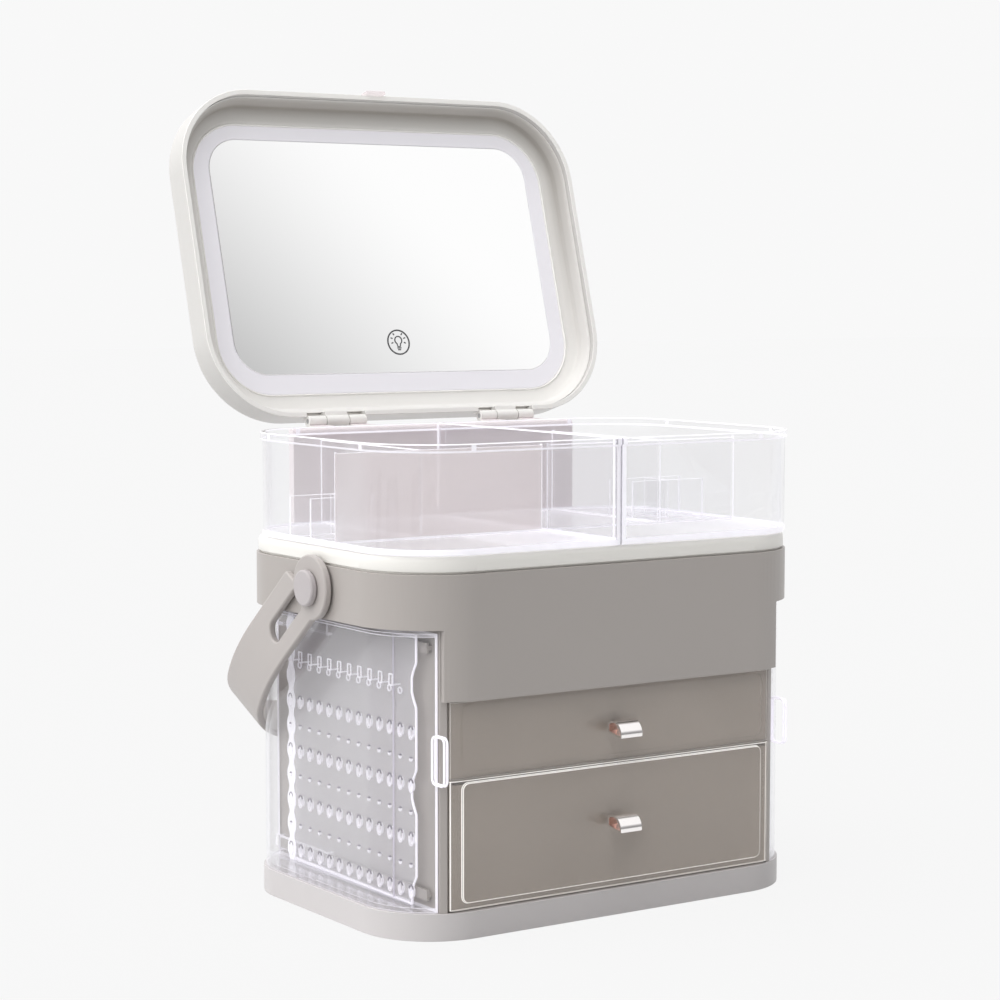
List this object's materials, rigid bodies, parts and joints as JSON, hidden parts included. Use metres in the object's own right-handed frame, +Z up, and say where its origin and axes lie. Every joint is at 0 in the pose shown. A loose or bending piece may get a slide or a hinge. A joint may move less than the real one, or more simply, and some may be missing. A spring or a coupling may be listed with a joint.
{
  "type": "vanity case",
  "caption": "Portable make-up case: hinged lid with lit mirror, clear lift-out trays, smoked drawers, side jewellery racks and a swinging carry handle.",
  "frame": {"origin": "middle of the base on the surface it stands on", "axes": "+X along the front to the viewer's right, +Y to the back, +Z up"},
  "size_m": [0.3156, 0.3049, 0.4909],
  "materials": {
    "grey_abs": "fine satin, warm grey",
    "rubber": "matt",
    "steel": "plain",
    "white_pom": "slippery white plastic",
    "ivory_abs": "ivory, soft gloss",
    "cap_abs": "warm grey satin",
    "led_frosted": "frosted, lit from behind",
    "mirror": "silvered glass",
    "electronics": "printed board and marks",
    "battery": "wrapped cell",
    "latch_pink": "translucent pale pink",
    "handle_abs": "warm grey satin",
    "smoked_acrylic": "clear smoked plastic, polished",
    "pull_chrome": "rose plated",
    "clear_acrylic": "clear plastic, polished"
  },
  "bodies": {
    "case": {"base_plate": "grey_abs", "base_cover": "grey_abs", "base_feet": "rubber", "base_screws": "steel", "core_left_wall": "grey_abs", "core_right_wall": "grey_abs", "back_panel": "grey_abs", "drawer_shelf": "grey_abs", "slide_strips": "white_pom", "upper_shell": "grey_abs", "top_deck": "ivory_abs", "hinge_tower": "ivory_abs", "hinge_pins": "steel", "left_pivot_pin": "white_pom", "left_pivot_cap": "cap_abs", "left_pivot_washer": "white_pom", "left_rack_rails": "white_pom", "right_pivot_pin": "white_pom", "right_pivot_cap": "cap_abs", "right_pivot_washer": "white_pom", "right_rack_rails": "white_pom"},
    "lid": {"lid_shell": "ivory_abs", "mirror_frame": "ivory_abs", "led_diffuser": "led_frosted", "mirror_glass": "mirror", "mirror_backer": "ivory_abs", "led_strip": "electronics", "battery_pack": "battery", "control_board": "electronics", "charge_socket": "steel", "touch_ring": "electronics", "lid_latch": "latch_pink"},
    "handle": {"handle_band": "handle_abs"},
    "lower_drawer": {"lower_drawer_box": "smoked_acrylic", "lower_drawer_face": "smoked_acrylic", "lower_drawer_pull": "pull_chrome", "lower_drawer_screw": "steel"},
    "upper_drawer": {"upper_drawer_box": "smoked_acrylic", "upper_drawer_face": "smoked_acrylic", "upper_drawer_pull": "pull_chrome", "upper_drawer_screw": "steel"},
    "left_rack": {"left_rack_cover": "clear_acrylic", "left_rack_panel": "clear_acrylic", "left_rack_hooks": "clear_acrylic", "left_rack_loop": "clear_acrylic", "left_rack_shoes": "white_pom"},
    "left_tray_set": {"left_tray": "clear_acrylic", "left_tray_comb": "clear_acrylic"},
    "right_rack": {"right_rack_cover": "clear_acrylic", "right_rack_panel": "clear_acrylic", "right_rack_hooks": "clear_acrylic", "right_rack_loop": "clear_acrylic", "right_rack_shoes": "white_pom"},
    "right_tray_set": {"right_tray": "clear_acrylic", "right_tray_comb": "clear_acrylic"}
  },
  "joints": [
    {"name": "lid_hinge", "type": "hinge", "parent": "case", "child": "lid", "pos_m": [0, 0.1136, 0.2802], "axis": [-1, 0, 0], "range_deg": [-106, 0]},
    {"name": "handle_swing", "type": "hinge", "parent": "case", "child": "handle", "pos_m": [0, -0.0075, 0.1925], "axis": [1, 0, 0], "range_deg": [0, 55]},
    {"name": "lower_drawer_slide", "type": "slide", "parent": "case", "child": "lower_drawer", "axis": [0, -1, 0], "range_m": [0, 0.14]},
    {"name": "upper_drawer_slide", "type": "slide", "parent": "case", "child": "upper_drawer", "axis": [0, -1, 0], "range_m": [0, 0.14]},
    {"name": "left_rack_slide", "type": "slide", "parent": "case", "child": "left_rack", "axis": [0, -1, 0], "range_m": [0, 0.11]},
    {"name": "right_rack_slide", "type": "slide", "parent": "case", "child": "right_rack", "axis": [0, -1, 0], "range_m": [0, 0.11]},
    {"name": "left_tray_lift", "type": "slide", "parent": "case", "child": "left_tray_set", "axis": [0, 0, 1], "range_m": [0, 0.08]},
    {"name": "right_tray_lift", "type": "slide", "parent": "case", "child": "right_tray_set", "axis": [0, 0, 1], "range_m": [0, 0.08]}
  ]
}
